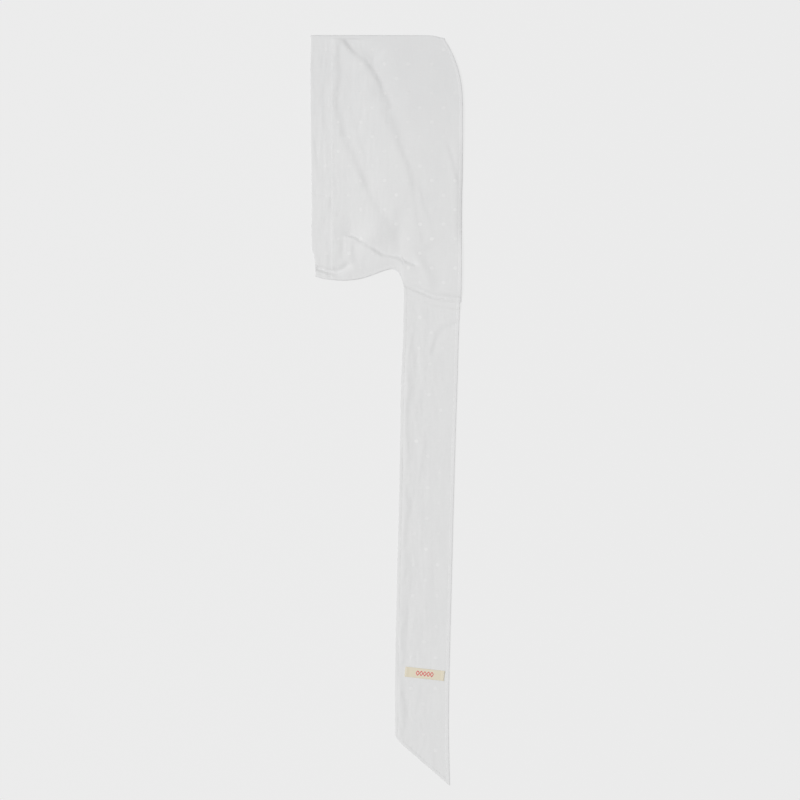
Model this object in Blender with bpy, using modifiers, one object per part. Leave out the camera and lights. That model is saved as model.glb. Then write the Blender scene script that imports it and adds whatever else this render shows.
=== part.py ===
"""A long tie bandana of thin dotted cotton, lying flat and folded in half across its crown.

The fold is at the top (+Y). The front edge runs down the right side into the ties, and a doubled
band closes the back edge on the left. Metres, +Z up, with the origin under the middle of its box.
"""

import math
from collections import namedtuple

import bmesh
import bpy
from mathutils import Vector

# Driving dimensions

WALL = 0.001
GAP = 0.0003

TOP_Y = 0.4125
TOP_CORNER_START_X = 0.0444
TOP_CORNER_DROP = 0.0038

FRONT_CORNER_X = 0.0629
FRONT_CURVE_LENGTH = 0.082
FRONT_CURVE_POWER = 2.65

BAND_SEAM_X = -0.0595

CREST_X = 0.0048
CREST_Y = 0.1557
NECK_X = 0.0191
NECK_Y = 0.1292
SEAM_RIGHT_X = 0.0820

DRAW_IN = 0.0060
DRAW_IN_TOP_Y = 0.2980
DRAW_IN_BOTTOM_Y = 0.1870

TIE_END_LEFT_Y = -0.3604
TIE_TIP_Y = -0.4125
TIE_CORNER_ROUNDING = 0.003
TIE_CORNER_SHARE = 0.12

LABEL_CENTRE = (0.0419, -0.2894)
LABEL_WIDTH = 0.0435
LABEL_HEIGHT = 0.011
LABEL_TILT = math.radians(-6.4)

# Outlines of the edges, a row for each place along them

EdgePoint = namedtuple("EdgePoint", "at value")

BACK_EDGE = [
    EdgePoint(at=0.1474, value=-0.0783),
    EdgePoint(at=0.1656, value=-0.0794),
    EdgePoint(at=0.1744, value=-0.0821),
    EdgePoint(at=0.2270, value=-0.0823),
    EdgePoint(at=0.2976, value=-0.0832),
    EdgePoint(at=0.3680, value=-0.0838),
    EdgePoint(at=0.4125, value=-0.0832),
]

FRONT_EDGE = [
    EdgePoint(at=0.1200, value=0.0820),
    EdgePoint(at=0.1400, value=0.0824),
    EdgePoint(at=0.2300, value=0.0828),
    EdgePoint(at=0.2600, value=0.0835),
    EdgePoint(at=0.3300, value=0.0838),
    EdgePoint(at=0.4125, value=0.0838),
]

SIDE_HEM = [
    EdgePoint(at=-0.0788, value=0.1474),
    EdgePoint(at=-0.0678, value=0.1446),
    EdgePoint(at=-0.0480, value=0.1430),
    EdgePoint(at=-0.0304, value=0.1446),
    EdgePoint(at=-0.0172, value=0.1485),
    EdgePoint(at=-0.0040, value=0.1535),
    EdgePoint(at=CREST_X, value=CREST_Y),
]

TIE_SEAM = [
    EdgePoint(at=0.0182, value=0.1385),
    EdgePoint(at=0.0334, value=0.1315),
    EdgePoint(at=0.0510, value=0.1242),
    EdgePoint(at=SEAM_RIGHT_X, value=0.1200),
]

TieSection = namedtuple("TieSection", "y left right")

TIE_SECTIONS = [
    TieSection(y=-0.4125, left=0.0092, right=0.0694),
    TieSection(y=-0.3450, left=0.0092, right=0.0682),
    TieSection(y=-0.2850, left=0.0093, right=0.0690),
    TieSection(y=-0.1900, left=0.0113, right=0.0714),
    TieSection(y=-0.1000, left=0.0135, right=0.0737),
    TieSection(y=-0.0200, left=0.0149, right=0.0760),
    TieSection(y=0.0350, left=0.0159, right=0.0779),
    TieSection(y=0.0800, left=0.0180, right=0.0791),
    TieSection(y=0.1385, left=0.0191, right=0.0817),
]

# Loft of the upper layer: heights of its middle surface from the fold (0) to its lower edge (1)

LoftSection = namedtuple("LoftSection", "down band middle front")

LOFT = [
    LoftSection(down=0.00, band=0.0050, middle=0.0058, front=0.0026),
    LoftSection(down=0.12, band=0.0050, middle=0.0076, front=0.0052),
    LoftSection(down=0.26, band=0.0050, middle=0.0082, front=0.0072),
    LoftSection(down=0.60, band=0.0050, middle=0.0082, front=0.0072),
    LoftSection(down=0.82, band=0.0050, middle=0.0066, front=0.0040),
    LoftSection(down=1.00, band=0.0047, middle=0.0018, front=0.0018),
]
RISE_FROM_BAND = 0.16
FALL_TO_FRONT = 0.50

LOWER_HEIGHT = WALL / 2
TIE_HEIGHT = LOWER_HEIGHT + WALL + GAP

# Folds of the upper layer: each is a crease, with a swell on the left of the way from start to end

Fold = namedtuple("Fold", "start middle end depth swell")

CROWN_FOLDS = [
    Fold(start=(-0.046, 0.405), middle=(0.010, 0.314), end=(0.044, 0.174), depth=0.0012, swell=0.0022),
    Fold(start=(0.060, 0.185), middle=(0.050, 0.226), end=(0.040, 0.257), depth=0.0006, swell=0.0008),
    Fold(start=(0.008, 0.188), middle=(-0.023, 0.252), end=(-0.054, 0.306), depth=0.0011, swell=0.0016),
    Fold(start=(-0.046, 0.190), middle=(0.006, 0.170), end=(0.053, 0.148), depth=0.0013, swell=0.0018),
    Fold(start=(-0.051, 0.300), middle=(-0.051, 0.350), end=(-0.052, 0.398), depth=0.0008, swell=0.0004),
]
FOLD_WIDTH = 0.0065
SWELL_OFFSET = 1.7 * FOLD_WIDTH
FOLD_STEPS = 16
FOLD_END_SHARE = 0.06

# Share of the upper layer next to each of its edges over which its folds fade out

FADE_BELOW_TOP = 0.12
FADE_ABOVE_EDGE = 0.10
FADE_FROM_BAND = 0.08
FADE_FROM_FRONT = 0.08

Ripple = namedtuple("Ripple", "across start_y end_y height")

TIE_RIPPLES = [
    Ripple(across=0.24, start_y=0.110, end_y=-0.060, height=0.0010),
    Ripple(across=0.60, start_y=0.040, end_y=-0.150, height=0.0007),
    Ripple(across=0.25, start_y=-0.070, end_y=-0.250, height=0.0008),
    Ripple(across=0.70, start_y=-0.170, end_y=-0.350, height=0.0006),
]
RIPPLE_WIDTH = 0.0075

# Mesh steps

HEM_COLUMNS = 12
NECK_COLUMNS = 5
SEAM_COLUMNS = 11
LOWER_ROWS = 12
BEND_ROWS = 6
UPPER_ROWS = 34
LOWER_ROW_SPREAD = 1.6
UPPER_ROW_SPREAD = 1.15
BAND_OUTER_COLUMNS = 4
BAND_TURN_COLUMNS = 4
BAND_INNER_COLUMNS = 3
BAND_UPPER_ROWS = 18
TIE_COLUMNS = 7
TIE_ROWS = 42
LABEL_COLUMNS = 6
LABEL_ROWS = 2

COTTON = (0.80, 0.80, 0.80)
LABEL_BEIGE = (0.70, 0.62, 0.50)


def ease(share):
    """0 to 1 with a flat start and end."""
    share = min(1.0, max(0.0, share))
    return share * share * (3.0 - 2.0 * share)


def smooth_through(at, places, values):
    """The value at one place of a smooth curve through (place, value) pairs in rising order."""
    last = len(places) - 1
    at = min(max(at, places[0]), places[last])
    k = 0
    while k < last - 1 and at > places[k + 1]:
        k += 1

    def slope(i):
        low, high = max(i - 1, 0), min(i + 1, last)
        return (values[high] - values[low]) / (places[high] - places[low])

    span = places[k + 1] - places[k]
    u = (at - places[k]) / span
    return (
        (2 * u**3 - 3 * u**2 + 1) * values[k]
        + (u**3 - 2 * u**2 + u) * span * slope(k)
        + (3 * u**2 - 2 * u**3) * values[k + 1]
        + (u**3 - u**2) * span * slope(k + 1)
    )


def along_edge(table, at):
    return smooth_through(at, [row.at for row in table], [row.value for row in table])


def top_y(x):
    """The folded top edge, which drops a little towards the front corner."""
    share = (x - TOP_CORNER_START_X) / (FRONT_CORNER_X - TOP_CORNER_START_X)
    return TOP_Y - TOP_CORNER_DROP * max(0.0, share) ** 2


def front_x(y):
    """The front edge, which curves back to the fold over its top stretch."""
    curve_bottom = TOP_Y - TOP_CORNER_DROP - FRONT_CURVE_LENGTH
    share = min(1.0, max(0.0, (y - curve_bottom) / FRONT_CURVE_LENGTH))
    cut_back = FRONT_EDGE[-1].value - FRONT_CORNER_X
    return along_edge(FRONT_EDGE, y) - cut_back * share**FRONT_CURVE_POWER


def drawn_in(y):
    """How far the upper layer's front edge lies back from the lower layer's."""
    share = (y - DRAW_IN_BOTTOM_Y) / (DRAW_IN_TOP_Y - DRAW_IN_BOTTOM_Y)
    return DRAW_IN * math.sin(math.pi * min(1.0, max(0.0, share))) ** 2


def seam_y(x):
    """The slanting seam between the crown and a tie."""
    return along_edge(TIE_SEAM, x)


def neck_x(y):
    """The edge at the neck: a quarter ellipse from the side hem's crest, across the seam, to the tie."""
    share = max(0.0, (y - NECK_Y) / (CREST_Y - NECK_Y))
    return CREST_X + (NECK_X - CREST_X) * math.sqrt(1.0 - share**2)


def crown_foot(column):
    """The lower end of one of the crown's columns: on the side hem, then round the neck's
    ellipse down to the seam, then along the seam to the front edge."""
    start_x = BAND_SEAM_X + GAP / 2
    if column <= HEM_COLUMNS:
        x = start_x + (CREST_X - start_x) * column / HEM_COLUMNS
        return x, along_edge(SIDE_HEM, x)
    column -= HEM_COLUMNS
    if column <= NECK_COLUMNS:
        seam_turn = math.acos((TIE_SEAM[0].value + GAP - NECK_Y) / (CREST_Y - NECK_Y))
        y = NECK_Y + (CREST_Y - NECK_Y) * math.cos(seam_turn * column / NECK_COLUMNS)
        return neck_x(y), y
    seam_share = (column - NECK_COLUMNS) / SEAM_COLUMNS
    seam_left_x = neck_x(TIE_SEAM[0].value + GAP)
    x = seam_left_x + (SEAM_RIGHT_X - seam_left_x) * seam_share
    return x, seam_y(x) + GAP


def loft(down, across):
    """Height of the upper layer's middle surface before folds; across is 0 at the band, 1 in front."""
    places = [row.down for row in LOFT]
    band, middle, front = (
        smooth_through(down, places, [getattr(row, column) for row in LOFT])
        for column in ("band", "middle", "front")
    )
    rise = ease(across / RISE_FROM_BAND)
    fall = ease((across - FALL_TO_FRONT) / (1.0 - FALL_TO_FRONT))
    return band + (middle - band) * rise + (front - middle) * fall


def fold_line(fold):
    """Shares and points along a fold: a quadratic curve through its start, middle and end."""
    start, middle, end = (Vector(point) for point in (fold.start, fold.middle, fold.end))
    control = 2.0 * middle - (start + end) / 2.0
    for k in range(FOLD_STEPS + 1):
        u = k / FOLD_STEPS
        yield u, start * (1 - u) ** 2 + control * 2 * u * (1 - u) + end * u**2


def fold_height(fold, point):
    """A crease along the fold's line and a swell beside it, both fading towards its ends."""
    distance, u, near = min(((point - place).length, u, place) for u, place in fold_line(fold))
    run = Vector(fold.end) - Vector(fold.start)
    side = 1.0 if run.cross(point - near) > 0 else -1.0
    fade = math.sin(math.pi * min(max(u, FOLD_END_SHARE), 1.0 - FOLD_END_SHARE))
    crease = fold.depth * math.exp(-((distance / FOLD_WIDTH) ** 2))
    swell = fold.swell * math.exp(-((side * distance / SWELL_OFFSET - 1.0) ** 2))
    return fade * (swell - crease)


def crown_height(x, y, down, across):
    """Height of the upper layer; its folds fade out at its edges, so that the cloth lies down there."""
    fade = ease(down / FADE_BELOW_TOP) * ease((1.0 - down) / FADE_ABOVE_EDGE)
    fade *= ease(across / FADE_FROM_BAND) * ease((1.0 - across) / FADE_FROM_FRONT)
    return loft(down, across) + fade * sum(fold_height(fold, Vector((x, y))) for fold in CROWN_FOLDS)


def folded_row(row, upper_rows):
    """Which part of the folded cloth a row is on, and its share of the way: up the lower layer
    from its edge, round the fold at the top, or down the upper layer to its edge."""
    if row <= LOWER_ROWS:
        return "lower", (1.0 - row / LOWER_ROWS) ** LOWER_ROW_SPREAD
    if row < LOWER_ROWS + BEND_ROWS:
        return "bend", (row - LOWER_ROWS) / BEND_ROWS
    return "upper", ((row - LOWER_ROWS - BEND_ROWS) / upper_rows) ** UPPER_ROW_SPREAD


def crown_point(column, row):
    """A point of the crown's middle surface, from the band's seam to the front edge."""
    part, share = folded_row(row, UPPER_ROWS)
    seam_x = BAND_SEAM_X + GAP / 2
    foot_x, foot_y = crown_foot(column)
    across = (foot_x - seam_x) / (SEAM_RIGHT_X - seam_x)
    bend_radius = (loft(0.0, across) - LOWER_HEIGHT) / 2
    top_x = seam_x + across * (FRONT_CORNER_X - seam_x)
    bend_y = top_y(top_x) - WALL / 2 - bend_radius
    if part == "bend":
        turn = math.pi * share
        return (
            top_x,
            bend_y + bend_radius * math.sin(turn),
            LOWER_HEIGHT + bend_radius * (1.0 - math.cos(turn)),
        )
    y = bend_y + share * (foot_y - bend_y)
    if part == "lower":
        return seam_x + across * (front_x(y) - seam_x), y, LOWER_HEIGHT
    x = seam_x + across * (front_x(y) - drawn_in(y) - seam_x)
    return x, y, crown_height(x, y, share, across)


def band_point(column, row):
    """A point of the band: an outer leaf from the seam to the back edge, a tight turn there,
    and an inner leaf back to the seam, on the inside of the folded cloth."""
    part, share = folded_row(row, BAND_UPPER_ROWS)
    turn_radius = (WALL + GAP) / 2
    bend_radius = (loft(0.0, 0.0) - LOWER_HEIGHT) / 2
    bend_y = TOP_Y - WALL / 2 - bend_radius
    down = 0.0 if part == "bend" else share
    back_x = along_edge(BACK_EDGE, bend_y + down * (SIDE_HEM[0].value - bend_y))
    seam_x = BAND_SEAM_X - GAP / 2
    edge_x = back_x + WALL / 2 + turn_radius
    if column <= BAND_OUTER_COLUMNS:
        x = seam_x + (edge_x - seam_x) * column / BAND_OUTER_COLUMNS
        inwards = 0.0
    elif column <= BAND_OUTER_COLUMNS + BAND_TURN_COLUMNS:
        turn = math.pi * (column - BAND_OUTER_COLUMNS) / BAND_TURN_COLUMNS
        x = edge_x - turn_radius * math.sin(turn)
        inwards = turn_radius * (1.0 - math.cos(turn))
    else:
        inner_column = column - BAND_OUTER_COLUMNS - BAND_TURN_COLUMNS
        x = edge_x + (seam_x - edge_x) * inner_column / BAND_INNER_COLUMNS
        inwards = 2 * turn_radius
    if part == "bend":
        turn = math.pi * share
        radius = bend_radius - inwards
        return (
            x,
            bend_y + radius * math.sin(turn),
            LOWER_HEIGHT + bend_radius - radius * math.cos(turn),
        )
    y = bend_y + share * (along_edge(SIDE_HEM, x) - bend_y)
    return x, y, LOWER_HEIGHT + inwards if part == "lower" else loft(share, 0.0) - inwards


def tie_edges(y):
    """Where a tie's two edges lie; its left edge goes on up into the neck's curve."""
    places = [section.y for section in TIE_SECTIONS]
    left = smooth_through(y, places, [section.left for section in TIE_SECTIONS])
    right = smooth_through(y, places, [section.right for section in TIE_SECTIONS])
    return min(left, neck_x(y)), right


def tie_end_y(across):
    """The slanted end of a tie, with its inner corner rounded."""
    corner = max(0.0, 1.0 - across / TIE_CORNER_SHARE)
    slant = TIE_END_LEFT_Y + across * (TIE_TIP_Y - TIE_END_LEFT_Y)
    return slant + TIE_CORNER_ROUNDING * corner**2


def tie_ripple(x, y):
    """Soft ripples that run along the upper tie."""
    left, right = tie_edges(y)
    height = 0.0
    for ripple in TIE_RIPPLES:
        share = min(1.0, max(0.0, (y - ripple.start_y) / (ripple.end_y - ripple.start_y)))
        from_crest = (x - left - ripple.across * (right - left)) / RIPPLE_WIDTH
        height += ripple.height * math.sin(math.pi * share) * math.exp(-(from_crest**2))
    return height


def tie_point(column, row, height, rippled):
    """A point of a tie's middle surface, from its seam (row 0) to its slanted end."""
    across = column / TIE_COLUMNS
    seam_left, seam_right = neck_x(TIE_SEAM[0].value), tie_edges(TIE_SEAM[-1].value)[1]
    seam_x = seam_left + across * (seam_right - seam_left)
    y = seam_y(seam_x) + (row / TIE_ROWS) * (tie_end_y(across) - seam_y(seam_x))
    left, right = tie_edges(y)
    x = left + across * (right - left) if row else seam_x
    return x, y, height + (tie_ripple(x, y) if rippled else 0.0)


def lower_tie_point(column, row):
    return tie_point(column, row, LOWER_HEIGHT, rippled=False)


def upper_tie_point(column, row):
    return tie_point(column, row, TIE_HEIGHT, rippled=True)


def label_point(column, row):
    """A point of the label, which lies on the upper tie."""
    along = (column / LABEL_COLUMNS - 0.5) * LABEL_WIDTH
    up = (row / LABEL_ROWS - 0.5) * LABEL_HEIGHT
    x = LABEL_CENTRE[0] + along * math.cos(LABEL_TILT) - up * math.sin(LABEL_TILT)
    y = LABEL_CENTRE[1] + along * math.sin(LABEL_TILT) + up * math.cos(LABEL_TILT)
    return x, y, TIE_HEIGHT + tie_ripple(x, y) + WALL + GAP


def cloth_material(name, colour, roughness):
    material = bpy.data.materials.new(name)
    material.use_nodes = True
    shader = material.node_tree.nodes["Principled BSDF"]
    shader.inputs["Base Color"].default_value = (*colour, 1.0)
    shader.inputs["Roughness"].default_value = roughness
    shader.inputs["Metallic"].default_value = 0.0
    return material


def cloth_sheet(name, columns, rows, point_at, material):
    """A sheet of cloth: a flat grid whose points are placed by point_at, given a wall by Solidify."""
    mesh = bpy.data.meshes.new(name)
    grid = bmesh.new()
    bmesh.ops.create_grid(grid, x_segments=columns, y_segments=rows, size=1.0)
    for vertex in grid.verts:
        column = round((vertex.co.x + 1.0) / 2.0 * columns)
        row = round((vertex.co.y + 1.0) / 2.0 * rows)
        vertex.co = point_at(column, row)
    grid.to_mesh(mesh)
    grid.free()
    mesh.shade_smooth()
    mesh.materials.append(material)
    sheet = bpy.data.objects.new(name, mesh)
    collection.objects.link(sheet)
    wall = sheet.modifiers.new("wall", "SOLIDIFY")
    wall.thickness = WALL
    wall.offset = 0.0
    wall.use_even_offset = True
    return sheet


for old in list(bpy.data.objects):
    bpy.data.objects.remove(old)
collection = bpy.data.collections.new("long_tie_bandana")
bpy.context.scene.collection.children.link(collection)

cotton = cloth_material("dotted_cotton", COTTON, 0.9)
label_cloth = cloth_material("label_satin", LABEL_BEIGE, 0.6)

crown_columns = HEM_COLUMNS + NECK_COLUMNS + SEAM_COLUMNS
crown_rows = LOWER_ROWS + BEND_ROWS + UPPER_ROWS
band_columns = BAND_OUTER_COLUMNS + BAND_TURN_COLUMNS + BAND_INNER_COLUMNS
band_rows = LOWER_ROWS + BEND_ROWS + BAND_UPPER_ROWS

cloth_sheet("crown", crown_columns, crown_rows, crown_point, cotton)
cloth_sheet("back_band", band_columns, band_rows, band_point, cotton)
cloth_sheet("tie_lower", TIE_COLUMNS, TIE_ROWS, lower_tie_point, cotton)
cloth_sheet("tie_upper", TIE_COLUMNS, TIE_ROWS, upper_tie_point, cotton)
cloth_sheet("label", LABEL_COLUMNS, LABEL_ROWS, label_point, label_cloth)
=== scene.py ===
# A long tie bandana of thin dotted cotton, lying flat with its crown folded in half and its two
# ties laid together, seen from straight above. Lengths are millimetres, which MM turns into
# metres where a mesh is made, and names that end in _M are metres. +Y runs from the tips of the
# ties to the fold, +Z up.

import math
from collections import namedtuple

import bpy
import numpy as np
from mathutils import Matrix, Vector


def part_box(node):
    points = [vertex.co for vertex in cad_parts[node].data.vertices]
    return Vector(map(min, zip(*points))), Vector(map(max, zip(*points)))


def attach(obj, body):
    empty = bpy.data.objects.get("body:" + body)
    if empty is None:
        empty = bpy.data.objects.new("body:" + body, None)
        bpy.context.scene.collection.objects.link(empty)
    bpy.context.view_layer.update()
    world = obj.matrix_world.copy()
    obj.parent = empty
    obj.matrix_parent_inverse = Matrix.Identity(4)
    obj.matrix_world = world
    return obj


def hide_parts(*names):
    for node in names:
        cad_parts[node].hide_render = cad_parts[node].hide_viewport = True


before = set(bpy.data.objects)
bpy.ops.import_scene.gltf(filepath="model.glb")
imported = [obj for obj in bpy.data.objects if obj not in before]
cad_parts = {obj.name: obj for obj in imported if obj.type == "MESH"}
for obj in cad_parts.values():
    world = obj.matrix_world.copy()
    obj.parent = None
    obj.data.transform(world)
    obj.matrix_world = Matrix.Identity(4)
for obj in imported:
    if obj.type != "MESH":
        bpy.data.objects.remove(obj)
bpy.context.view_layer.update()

MM = 0.001


# Crown
#
# The head piece: one panel of thin cotton, folded in half along its centre line, which is the top
# edge. The lower layer lies on the ground and the upper layer puffs up over it in soft folds.
# The front edge and the side hem are turned in twice and stitched; the back runs into the band.

Edge = namedtuple("Edge", "at value")
Loft = namedtuple("Loft", "down band middle front")
Crease = namedtuple("Crease", "drop width high low valley fade path")
Mound = namedtuple("Mound", "x y height reach_x reach_y")
Rumple = namedtuple("Rumple", "height size seed lean stretch_x stretch_y", defaults=(0.0, 1.0, 1.0))

# The outline: the fold's drop to the front corner, the front edge's curve, the crest of the side
# hem, the neck where the ties begin, and the foot of the front edge.
TOP_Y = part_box("crown")[1].y / MM
SEAM_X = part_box("crown")[0].x / MM
TOP_DROP_START_X = 44.4
TOP_DROP = 3.8
FRONT_CORNER_X = 62.9
FRONT_CURVE_LENGTH = 82.0
FRONT_CURVE_POWER = 2.65
CREST_X = 4.8
CREST_Y = 155.7
NECK_X = 19.1
NECK_Y = 129.2
FOOT_RIGHT_X = 82.0

# Walls of single cloth and of turned hems, the dents that stitches pull, and the layers' heights.
CLOTH = 0.42
HEM = 1.00
HEM_WIDTH = 3.4
HEM_EASE = 0.8
HEM_ROUND = 0.6 * HEM
HEM_RIM_SHARE = 0.25
PAST_HEM = 20.0
STITCH_INSIDE = HEM_WIDTH - 0.3
STITCH_DITCH = 0.14
STITCH_DITCH_WIDTH = 0.8
RIM_SHARE = 0.4
LOWER_Z = 0.55
LOWER_LIFT = 0.12
UPPER_CLEARANCE = 0.9
CLEARANCE_SOFTNESS = 0.25

FRONT_EDGE = [
    Edge(120.0, 82.0), Edge(140.0, 82.4), Edge(230.0, 82.8), Edge(260.0, 83.5), Edge(330.0, 83.8),
    Edge(412.5, 83.8),
]
SIDE_HEM = [
    Edge(-78.8, 147.4), Edge(-67.8, 144.6), Edge(-48.0, 143.0), Edge(-30.4, 144.6),
    Edge(-17.2, 148.5), Edge(-4.0, 153.5), Edge(CREST_X, CREST_Y),
]
TIE_SEAM = [
    Edge(18.2, 138.5), Edge(33.4, 131.5), Edge(51.0, 124.2), Edge(FOOT_RIGHT_X, 120.0),
]

# The upper layer's height by the share of the way down from the fold, how far its front edge is
# pressed down, and how the crown laps the band and the ties.
LOFT = [
    Loft(down=0.00, band=5.0, middle=5.0, front=2.8),
    Loft(down=0.12, band=5.0, middle=5.8, front=4.0),
    Loft(down=0.26, band=5.0, middle=6.2, front=4.3),
    Loft(down=0.40, band=5.0, middle=6.4, front=4.3),
    Loft(down=0.65, band=5.0, middle=6.4, front=4.3),
    Loft(down=0.82, band=5.0, middle=6.2, front=4.6),
    Loft(down=0.96, band=4.8, middle=4.4, front=3.9),
    Loft(down=1.00, band=4.7, middle=3.3, front=3.3),
]
FRONT_PRESS = [
    Edge(176.0, 0.0), Edge(200.0, 1.7), Edge(262.0, 1.8), Edge(304.0, 0.0),
]
FRONT_PRESS_REACH = 9.0
RISE_FROM_BAND = 0.50
FALL_TO_FRONT = 0.36
LAP = 1.1
SEAM_LAP = 0.8 * LAP
LAP_STEP = 0.14
LAP_REACH = 7.0

# A crease drops from the right of the way along its path to the left. Its high and low sides
# ease back over their own reaches, and a narrow valley may run along the line. The columns are
# drop, width, reach of the high side, reach of the low side, valley, fade at the ends, and path.
CROWN_CREASES = [
    Crease(2.1, 3.5, 14, 20, 0.6, 6, [(-49, 421), (-45, 406), (-39, 398), (-32, 391), (-23, 384),
        (-17, 377), (-12, 369), (-7, 361), (-3, 350), (3, 339), (6, 329)]),
    Crease(2.2, 8.0, 14, 16, 0.0, 8, [(-56, 425), (-47, 410), (-36, 399), (-23, 390), (-12, 379)]),
    Crease(2.6, 9.0, 16, 12, 0.0, 20, [(-22, 366), (-12, 348), (-2, 331), (7, 313), (14, 291)]),
    Crease(1.3, 3.6, 12, 14, 0.2, 18, [(10, 309), (15, 293), (19, 280), (25, 267), (28, 252), (31, 234)]),
    Crease(1.2, 3.6, 9, 22, 0.4, 8, [(-50, 412), (-52, 390), (-51, 375), (-52, 359), (-54, 344),
        (-52, 328), (-49, 313), (-47, 298)]),
    Crease(1.5, 5.0, 18, 16, 0.2, 12, [(-48, 315), (-44, 296), (-37, 283), (-32, 270), (-26, 257),
        (-21, 240)]),
    Crease(1.1, 4.6, 18, 12, 0.0, 18, [(-32, 267), (-25, 251), (-19, 237), (-13, 225), (-5, 214),
        (2, 204), (6, 193), (9, 179)]),
    Crease(1.1, 4.8, 8, 12, 0.0, 14, [(9, 227), (11, 210), (11, 194), (11, 179), (10, 163)]),
    Crease(2.3, 2.5, 7, 18, 1.2, 11, [(-50, 192), (-40, 192), (-32, 189), (-23, 183), (-14, 178),
        (-5, 172), (4, 170), (13, 168), (24, 163), (38, 158)]),
    Crease(2.2, 7.0, 7, 20, 0.0, 10, [(31, 177), (39, 163), (47, 151), (53, 130)]),
    Crease(0.45, 2.4, 7, 9, 0.1, 20, [(31, 265), (37, 245), (41, 228), (47, 212), (53, 190)]),
    Crease(0.4, 2.2, 5, 8, 0.1, 20, [(28, 251), (31, 229), (34, 210), (38, 193), (41, 172)]),
    Crease(1.1, 3.8, 5, 7, 0.4, 8, [(-38, 188), (-36, 173), (-35, 157)]),
    Crease(0.8, 3.4, 6, 7, 0.4, 8, [(-50, 190), (-49, 177), (-50, 162)]),
    Crease(1.0, 3.2, 5, 5, 2.4, 8, [(-82, 158), (-72, 155), (-62, 152), (-54, 152), (-46, 156),
        (-38, 163)]),
    Crease(0.2, 2.0, 4, 4, 0.8, 8, [(-86, 241), (-73, 238), (-59, 236)]),
    Crease(0.6, 2.8, 5, 6, 0.1, 14, [(-58, 243), (-64, 223), (-69, 207), (-74, 185)]),
    Crease(0.9, 3.0, 4, 6, 0.1, 16, [(-70, 366), (-70, 337), (-69, 306)]),
    Crease(0.6, 2.6, 4, 4, 0.1, 18, [(-81, 309), (-77, 276), (-72, 243)]),
    Crease(0.6, 2.6, 6, 5, 0.2, 14, [(65, 298), (72, 278), (76, 262), (80, 243)]),
    Crease(0.6, 2.6, 6, 7, 0.1, 18, [(-36, 328), (-32, 304), (-26, 287), (-21, 267)]),
]
CROWN_MOUNDS = [
    Mound(x=-57, y=197, height=1.1, reach_x=8, reach_y=18),
    Mound(x=-13, y=194, height=2.8, reach_x=14, reach_y=15),
    Mound(x=27, y=183, height=0.9, reach_x=12, reach_y=22),
]

# Slow rumples, fine wrinkles that fade from the back to the front, puckers along the band's seam,
# and the ditch along the tie's seam.
CREASE_STRENGTH_WAVER = 0.3
CREASE_WIDTH_WAVER = 0.25
CROWN_RUMPLES = [
    Rumple(height=0.22, size=26.0, seed=3),
    Rumple(height=0.10, size=11.0, seed=4, lean=0.5),
]
LOWER_RUMPLES = [Rumple(height=0.12, size=24.0, seed=8)]
WRINKLED_X = -25.0
WRINKLED_FADE = 45.0
WRINKLES_BACK = 0.17
WRINKLES_FRONT = 0.05
WRINKLES_ON_BAND = 0.06
BAND_WRINKLE_FADE = 4.0
PUCKER = 0.16
PUCKER_REACH = 4.5
SEAM_DITCH = 1.9
SEAM_DITCH_WIDTH = 3.4
SEAM_DITCH_INSIDE = 1.8
SEAM_DITCH_START = 0.35
SEAM_DITCH_GROWTH = 30.0
FADE_BELOW_FOLD = 3.0

LOWER_ROWS = 34
BEND_ROWS = 10
UPPER_ROWS = 258
CROWN_COLUMNS = 128


def ease(share):
    """0 to 1 with a flat start and end: 3 s squared - 2 s cubed."""
    share = np.clip(share, 0.0, 1.0)
    return share * share * (3.0 - 2.0 * share)


def bell(distance, width):
    """1 at no distance, and 1/e at the width: e to the power of minus distance/width squared."""
    return np.exp(-((distance / width) ** 2))


def through(table, at, column=1):
    """A smooth curve through a table's rows, read at an array of places: on each span a cubic whose
    slope at a row is the mean slope between the rows on either side of it."""
    rows = np.array(table, float)
    places, values = rows[:, 0], rows[:, column]
    last = len(places) - 1
    before, after = np.maximum(np.arange(last + 1) - 1, 0), np.minimum(np.arange(last + 1) + 1, last)
    slopes = (values[after] - values[before]) / (places[after] - places[before])
    at = np.clip(at, places[0], places[-1])
    k = np.clip(np.searchsorted(places, at, side="right") - 1, 0, last - 1)
    span = places[k + 1] - places[k]
    u = (at - places[k]) / span
    return (
        (2 * u**3 - 3 * u**2 + 1) * values[k]
        + (u**3 - 2 * u**2 + u) * span * slopes[k]
        + (3 * u**2 - 2 * u**3) * values[k + 1]
        + (u**3 - u**2) * span * slopes[k + 1]
    )


def spaced(length, count, fine_places, reach, extra):
    """count + 1 places from 0 to length, packed closer round each of the fine places: the spacing
    there is 1 / (1 + extra) of what it is far away, with a bell of the given reach between."""
    line = np.linspace(0.0, length, 4000)
    density = 1.0 + extra * sum(bell(line - place, reach) for place in fine_places)
    total = np.concatenate([[0.0], np.cumsum((density[1:] + density[:-1]) / 2)])
    return np.interp(np.linspace(0.0, total[-1], count + 1), total, line)


def rumple(x, y, size, seed):
    """Smooth random heights from -1 to 1: random values on a square lattice of the given size,
    blended between the four nearest ones by the ease curve."""
    values = np.random.default_rng(seed).uniform(-1.0, 1.0, (64, 64))
    column, row = np.floor(x / size).astype(int), np.floor(y / size).astype(int)
    across, up = ease(x / size - column), ease(y / size - row)
    low = values[row % 64, column % 64] * (1 - across) + values[row % 64, (column + 1) % 64] * across
    row = row + 1
    high = values[row % 64, column % 64] * (1 - across) + values[row % 64, (column + 1) % 64] * across
    return low * (1 - up) + high * up


def rumples(table, x, y):
    """The sum of a table's rumples: each one's height times random heights of its size, with x
    leaned over by y and both stretched first."""
    return sum(
        row.height * rumple(row.stretch_x * x + row.lean * y, row.stretch_y * y, row.size, row.seed)
        for row in table
    )


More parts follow.
